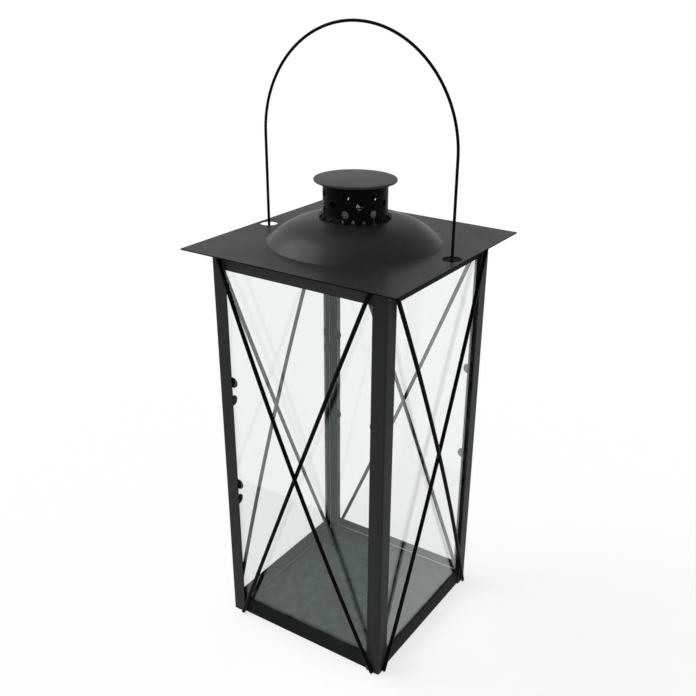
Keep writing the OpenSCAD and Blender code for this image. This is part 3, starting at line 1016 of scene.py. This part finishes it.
@dataclass
class Panes(SubAssembly):
    """Glass panes: clear faces, with every edge ground to a narrow seam."""

    thickness: float = 2.0
    seam: float = 0.4
    sharp_deg: float = 20.0
    # half width, foot, top, and distance of the outside face from the axis
    fixed: tuple = (64.5, 0.8, 297.0, 68.2)
    door: tuple = (61.0, 6.7, 299.3, 69.0)

    def form(self, half: float, foot: float, top: float, out: float) -> tuple:
        """Pane on the front: four rings of a rectangle carried through the thickness.

        A ring is the outline drawn in by the seam on the two faces and full between
        them; the first and last rings are closed by the clear faces.

        Args:
            half: half of the pane's width.
            foot: height of its lower edge.
            top: height of its upper edge.
            out: distance of its outside face from the axis.

        Returns:
            Points, faces, and each face's material: 0 clear, 1 level edge, 2 side edge in painted
            shade.
        """
        inset = np.array([self.seam, 0.0, 0.0, self.seam])
        depth = np.array([0.0, self.seam, self.thickness - self.seam, self.thickness])
        sign_x, sign_z = np.array([-1, 1, 1, -1]), np.array([-1, -1, 1, 1])
        x = (half - inset)[:, None] * sign_x
        z = (foot + top) / 2 + ((top - foot) / 2 - inset)[:, None] * sign_z
        points = columns(x, -out + depth[:, None], z).reshape(-1, 3)
        clear = [[0, 1, 2, 3], [15, 14, 13, 12]]
        return points, grid_quads(4, 4) + clear, [1, 2, 1, 2] * 3 + [0, 0]

    def build(self) -> None:
        """Makes the three fixed panes and the door's pane."""
        for side, label in LABELS.items():
            door = side is Side.REAR
            node, body = ("door_pane", Body.DOOR) if door else (f"pane_{label}", Body.LANTERN)
            points, faces, numbers = self.form(*(self.door if door else self.fixed))
            piece = mesh_piece(f"{node}_glass", turned(points, side), faces, self.sharp_deg)
            # the upright edges take a darker copy as painted shade
            self.hand_in(piece, Slot.GLASS, body, node, Look.GLASS, Look.EDGE, Look.SIDE_EDGE)
            piece.data.polygons.foreach_set("material_index", np.array(numbers, np.int32))


@dataclass
class FoldedParts(SubAssembly):
    """Posts, rails, tray, door strips, clips and fittings: their sheared edges are eased.

    Each piece is the frame node's own surface, merged and with its flat faces made whole,
    so that a narrow round can run along every edge; the folds keep their radius.
    """

    edge_r: float = 0.13
    clip_r: float = 0.1
    fitting_r: float = 0.12
    sharp_deg: float = 30.0
    flat_deg: float = 0.5
    floor_z: float = 0.9
    floor_level: float = 0.9
    posts: tuple = ("post_front_left", "post_front_right", "post_rear_right", "post_rear_left")
    rails: tuple = ("head_rail_front", "head_rail_left", "head_rail_rear")
    strips: tuple = ("door_stile_hinge", "door_stile_latch", "door_rail_top", "door_rail_bottom")

    def ease(self, node: str, width: float, body: Body, *looks: Look) -> Object:
        """Makes the eased piece of one node.

        Args:
            node: name of the frame node.
            width: width of the round along its edges.
            body: the body that it rides on.
            looks: its finishes.

        Returns:
            The piece.
        """
        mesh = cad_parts[node].data.copy()
        mesh.name = f"{node}_eased"
        mesh.materials.clear()
        piece = linked(mesh, self.sharp_deg, self.flat_deg)
        round_edges(piece, width)
        self.hand_in(piece, Slot.COAT, body, node, *looks)
        return piece

    def build(self) -> None:
        """Makes the piece of every folded or cut sheet part."""
        for nodes, width, body, look in (
            (self.posts, self.edge_r, Body.LANTERN, Look.BODY),
            # the head rails' lighter coat is painted light
            (self.rails, self.edge_r, Body.LANTERN, Look.RAIL),
            (self.strips, self.edge_r, Body.DOOR, Look.BODY),
            (["pane_clips"], self.clip_r, Body.LANTERN, Look.BODY),
            (["door_pane_clips"], self.clip_r, Body.DOOR, Look.BODY),
            (["hinge_post_leaves"], self.fitting_r, Body.LANTERN, Look.BODY),
            (["hinge_door_leaves"], self.fitting_r, Body.DOOR, Look.BODY),
            (["latch_cam"], self.fitting_r, Body.LATCH, Look.BODY),
            # the right head rail's darker coat is painted shade, for the roof's shadow on it
            (["head_rail_right"], self.edge_r, Body.LANTERN, Look.RIM),
        ):
            for node in nodes:
                self.ease(node, width, body, look)
        self.build_tray()

    def build_tray(self) -> None:
        """Makes the tray: its flat floor has its own finish, the folded rims a darker copy of the
        coat as painted shade.
        """
        piece = self.ease("base_tray", self.edge_r, Body.LANTERN, Look.RIM, Look.FLOOR)
        faces = piece.data.polygons
        normal, centre = np.empty(len(faces) * 3), np.empty(len(faces) * 3)
        faces.foreach_get("normal", normal)
        faces.foreach_get("center", centre)
        floor = (normal[2::3] > self.floor_level) & (centre[2::3] < self.floor_z * MM)
        faces.foreach_set("material_index", floor.astype(np.int32))


@dataclass
class LatchKnob(SubAssembly):
    """Turned knob of the latch on its shaft: a fluted waist between two beads, a dished face."""

    shaft_d: float = 2.4
    height: float = 3.7
    bead_r: float = 0.55
    bead_steps: int = 10
    waist: float = 0.3
    dish: float = 0.3
    face_steps: int = 8
    flutes: int = 18
    flute_depth: float = 0.16
    segments: int = 144
    sharp_deg: float = 40.0

    def profile(self, radius: float, tail: float, head: float) -> np.ndarray:
        """Outline of the knob from the end of its shaft to the middle of its face.

        The beads are half circles. The waist between them is drawn in by a sine arch, and
        the face falls to its middle by the dish, along half a cosine.

        Args:
            radius: outer radius of the beads.
            tail: place of the shaft's end.
            head: place of the knob's back.

        Returns:
            Rows of radius and distance along the axis.
        """
        bead, shaft, top = self.bead_r, self.shaft_d / 2, head + self.height
        rim = radius - bead
        share = np.linspace(0, 1, self.face_steps + 1)[1:-1]
        waist = columns(rim - self.waist * np.sin(math.pi * share),
                        head + 2 * bead + share * (self.height - 4 * bead))
        r = np.linspace(rim, 0, self.face_steps + 1)[1:]
        face = columns(r, top - self.dish * (0.5 + 0.5 * np.cos(math.pi * r / rim)))
        return np.vstack([
            [[0, tail], [shaft, tail], [shaft, head]],
            arc((rim, head + bead), bead, -90, 90, self.bead_steps), waist,
            arc((rim, top - bead), bead, -90, 90, self.bead_steps), face,
        ])

    def build(self) -> None:
        """Makes the knob where the frame has it, with its axis along y.

        Flutes lie only on the waist: a bell over its height times a cosine round it.
        """
        low, high = (np.array(corner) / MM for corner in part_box("latch_knob"))
        middle, radius = (low + high) / 2, (high[0] - low[0]) / 2
        head, half = high[1] - self.height, self.height / 2
        points, faces = revolved(self.profile(radius, low[1], head), self.segments)
        x, y, z = points.T
        bell = np.clip(1 - ((z - head - half) / (half - self.bead_r)) ** 2, 0, 1)
        ripple = 0.5 + 0.5 * np.cos(self.flutes * np.arctan2(y, x))
        cut = 1 - self.flute_depth / radius * bell * ripple
        placed = columns(middle[0] + x * cut, z, middle[2] - y * cut)
        piece = mesh_piece("latch_knob_turned", placed, faces, self.sharp_deg)
        self.hand_in(piece, Slot.COAT, Body.LATCH, "latch_knob", Look.KNOB)


@dataclass
class CarriedNodes(SubAssembly):
    """Nodes of the frame whose own shape is shown."""

    pins: tuple = ("hinge_pins",)

    def build(self) -> None:
        """Dresses each node in place."""
        for name in self.pins:
            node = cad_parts[name]
            if not node.material_slots:
                node.data.materials.append(self.materials[Look.PIN])
            for slot in node.material_slots:
                slot.material = self.materials[Look.PIN]
            LOG.info("node %s dressed with %s", name, Look.PIN.value.name)


@dataclass
class PhotoCamera:
    """Camera of the photograph, fitted to the lantern's corners."""

    place: tuple = (0.32536, -0.49504, 0.48118)
    yaw_deg: float = -32.35
    pitch_deg: float = 26.13
    roll_deg: float = 0.88
    focal_px: float = 874.9
    axis_px: tuple = (367.1, 390.5)
    frame_px: int = 696
    sensor_mm: float = 36.0

    def build(self) -> None:
        """Creates the camera and makes it the scene's own."""
        yaw, pitch, roll = (math.radians(a) for a in (self.yaw_deg, self.pitch_deg, self.roll_deg))
        flat = math.cos(pitch)
        ahead = Vector((math.sin(yaw) * flat, math.cos(yaw) * flat, -math.sin(pitch)))
        level = Vector((math.cos(yaw), -math.sin(yaw), 0))
        upright = level.cross(ahead)
        right = level * math.cos(roll) + upright * math.sin(roll)
        up = upright * math.cos(roll) - level * math.sin(roll)
        data = bpy.data.cameras.new("photo_camera")
        data.sensor_width = self.sensor_mm
        data.lens = self.focal_px * self.sensor_mm / self.frame_px
        data.shift_x = (self.frame_px / 2 - self.axis_px[0]) / self.frame_px
        data.shift_y = (self.axis_px[1] - self.frame_px / 2) / self.frame_px
        data.clip_start, data.clip_end = 0.01, 100.0
        camera = new_object("photo_camera", data)
        turn = Matrix((right, up, -ahead)).transposed().to_4x4()
        camera.matrix_world = Matrix.Translation(self.place) @ turn
        bpy.context.scene.camera = camera


@dataclass
class Studio:
    """Pale floor, one large soft lamp and a world that is bright at its horizon."""

    floor_half_m: float = 40.0
    floor_albedo: float = 0.42
    horizon_level: float = 0.95
    middle_level: float = 0.42
    zenith_level: float = 0.16
    sky_steps: int = 200
    key_from: tuple = (-1.7, -0.5, 1.5)
    key_level: float = 1.5
    key_angle_deg: float = 50.0

    def build(self) -> None:
        """Makes the floor, the world and the lamp, and sets the plain view transform."""
        self.build_floor()
        self.build_world()
        self.build_lamp()
        bpy.context.scene.view_settings.view_transform = "Standard"

    def floor_light(self) -> float:
        """Level of light on the open floor: the lamp's share and the world's.

        The world's share is its mean over the sky weighted by the cosine: the integral
        of 2 z level(z) for z from 0 to 1, with the level linear between its three values.

        Returns:
            The light's level, where 1 shows a colour as it is written.
        """
        lamp = Vector(self.key_from).normalized().z * self.key_level / math.pi
        z = (np.arange(self.sky_steps) + 0.5) / self.sky_steps
        sky = np.interp(z, [0, 0.5, 1], [self.horizon_level, self.middle_level, self.zenith_level])
        return lamp + float(np.mean(2 * z * sky))

    def build_floor(self) -> None:
        """Makes the floor, which takes the shadow and shows white where it is lit.

        Camera, glossy and transmission rays add what its lit colour lacks to white.
        """
        half = self.floor_half_m
        mesh = bpy.data.meshes.new("floor")
        corners = [(-half, -half, 0), (half, -half, 0), (half, half, 0), (-half, half, 0)]
        mesh.from_pydata(corners, [], [(0, 1, 2, 3)])
        floor = new_object("floor", mesh)
        material = bpy.data.materials.new("pale_floor")
        material.use_nodes = True
        w = Wiring(material.node_tree)
        ray = w.add("ShaderNodeLightPath").outputs
        seen = w.math("MAXIMUM", w.math("MAXIMUM", ray["Is Camera Ray"], ray["Is Glossy Ray"]),
                      ray["Is Transmission Ray"])
        rest = 1 - self.floor_albedo * self.floor_light()
        diffuse = w.add("ShaderNodeBsdfDiffuse", {"Color": opaque((self.floor_albedo,) * 3)})
        glow = w.add("ShaderNodeEmission", {"Strength": w.math("MULTIPLY", seen, rest)})
        both = w.add("ShaderNodeAddShader", {0: diffuse.outputs[0], 1: glow.outputs[0]})
        w.add("ShaderNodeOutputMaterial", {"Surface": both.outputs[0]})
        mesh.materials.append(material)

    def build_world(self) -> None:
        """Makes the world: white where it is seen, else bright low down and dim overhead."""
        world = bpy.data.worlds.new("studio_world")
        world.use_nodes = True
        w = Wiring(world.node_tree)
        ahead = w.add("ShaderNodeTexCoord").outputs["Generated"]
        height = w.add("ShaderNodeSeparateXYZ", {0: ahead}).outputs["Z"]
        low = w.mapped(height, 0.0, 0.5, self.horizon_level, self.middle_level)
        high = w.mapped(height, 0.5, 1.0, 0.0, self.middle_level - self.zenith_level)
        camera = w.add("ShaderNodeLightPath").outputs["Is Camera Ray"]
        level = w.math("MAXIMUM", w.math("SUBTRACT", low, high), camera)
        shade = w.add("ShaderNodeBackground", {"Color": opaque((1, 1, 1)), "Strength": level})
        w.add("ShaderNodeOutputWorld", {"Surface": shade.outputs[0]})
        bpy.context.scene.world = world

    def build_lamp(self) -> None:
        """Makes the soft key lamp, a sun that lights the whole floor evenly."""
        data = bpy.data.lights.new("key_lamp", "SUN")
        data.energy, data.angle = self.key_level, math.radians(self.key_angle_deg)
        away = Vector(self.key_from)
        turn = (-away).to_track_quat("-Z", "Y")
        lamp = new_object("key_lamp", data)
        lamp.matrix_world = Matrix.Translation(away) @ turn.to_matrix().to_4x4()


def main() -> None:
    """Builds the studio and every sub-assembly, and reports each piece."""
    logging.basicConfig(level=logging.INFO, format="%(name)s: %(message)s")
    for make_group in (coat_grain_group, settled_dust_group, glass_film_group):
        make_group()
    materials = {look: look.value.build() for look in Look}
    PhotoCamera().build()
    Studio().build()
    for part in (Roof, Chimney, Bail, CrossWires, Panes, FoldedParts, LatchKnob, CarriedNodes):
        part(materials).build()
        LOG.info("%s done", part.__name__)
    bpy.context.view_layer.update()


if __name__ == "__main__":
    main()
